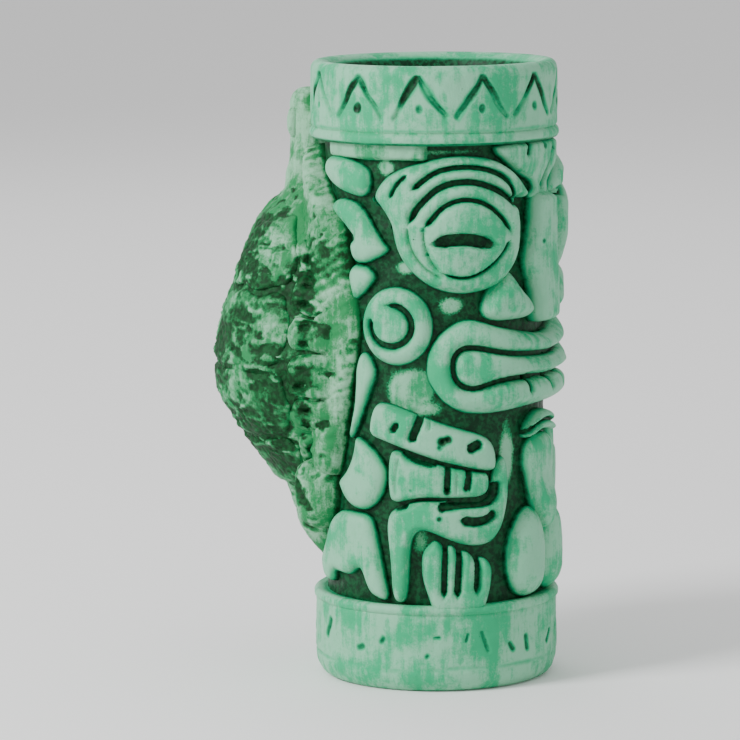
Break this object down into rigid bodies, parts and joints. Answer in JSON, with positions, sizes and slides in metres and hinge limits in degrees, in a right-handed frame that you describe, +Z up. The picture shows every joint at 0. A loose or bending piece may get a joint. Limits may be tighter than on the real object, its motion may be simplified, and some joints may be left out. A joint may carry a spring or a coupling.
{
  "type": "tiki mug",
  "caption": "Tall footed ceramic cup with a carved mask on the front, small crouching figures on the sides and a turtle on the back as the grip.",
  "frame": {"origin": "centre of the foot, on the cup's own axis", "axes": "+Z up along the cup's axis, the face looks towards -Y, the turtle is towards +Y, and the mug's own right side is -X"},
  "size_m": [0.081, 0.115, 0.191],
  "materials": {
    "carved_glaze": "satin jade glaze, wiped pale on the raised carving and darker beside it",
    "dark_wash_glaze": "satin deep green glaze left in the recesses, with rubbed pale patches",
    "turtle_glaze": "satin leaf green glaze over a rough shell, pale on its ridges"
  },
  "bodies": {
    "root": {"cup_body": "dark_wash_glaze", "rim_band": "carved_glaze", "base_band": "carved_glaze", "forehead_peak": "carved_glaze", "nose": "carved_glaze", "tongue": "carved_glaze", "teeth": "carved_glaze", "collar": "carved_glaze", "belly": "carved_glaze", "temple_block_right": "carved_glaze", "temple_block_left": "carved_glaze", "brow_outer_right": "carved_glaze", "brow_outer_left": "carved_glaze", "brow_inner_right": "carved_glaze", "brow_inner_left": "carved_glaze", "eye_ring_right": "carved_glaze", "eye_ring_left": "carved_glaze", "upper_lid_right": "carved_glaze", "upper_lid_left": "carved_glaze", "lower_lid_right": "carved_glaze", "lower_lid_left": "carved_glaze", "nostril_right": "carved_glaze", "nostril_left": "carved_glaze", "lip_right": "carved_glaze", "lip_left": "carved_glaze", "ear_spool_right": "carved_glaze", "ear_spool_left": "carved_glaze", "ear_boss_right": "carved_glaze", "ear_boss_left": "carved_glaze", "cheek_fin_right": "carved_glaze", "cheek_fin_left": "carved_glaze", "cheek_drop_right": "carved_glaze", "cheek_drop_left": "carved_glaze", "ear_leaf_right": "carved_glaze", "ear_leaf_left": "carved_glaze", "headband_right": "carved_glaze", "headband_left": "carved_glaze", "figure_face_right": "carved_glaze", "figure_face_left": "carved_glaze", "figure_arm_right": "carved_glaze", "figure_arm_left": "carved_glaze", "figure_hand_right": "carved_glaze", "figure_hand_left": "carved_glaze", "shoulder_drop_right": "carved_glaze", "shoulder_drop_left": "carved_glaze", "thigh_right": "carved_glaze", "thigh_left": "carved_glaze", "knee_right": "carved_glaze", "knee_left": "carved_glaze", "turtle_shell": "turtle_glaze", "shell_ridge_plates": "turtle_glaze", "shell_side_plates_right": "turtle_glaze", "shell_side_plates_left": "turtle_glaze", "shell_edge_plates_right": "turtle_glaze", "shell_edge_plates_left": "turtle_glaze", "turtle_head": "turtle_glaze", "turtle_flippers": "turtle_glaze", "turtle_tail": "turtle_glaze"}
  },
  "joints": []
}
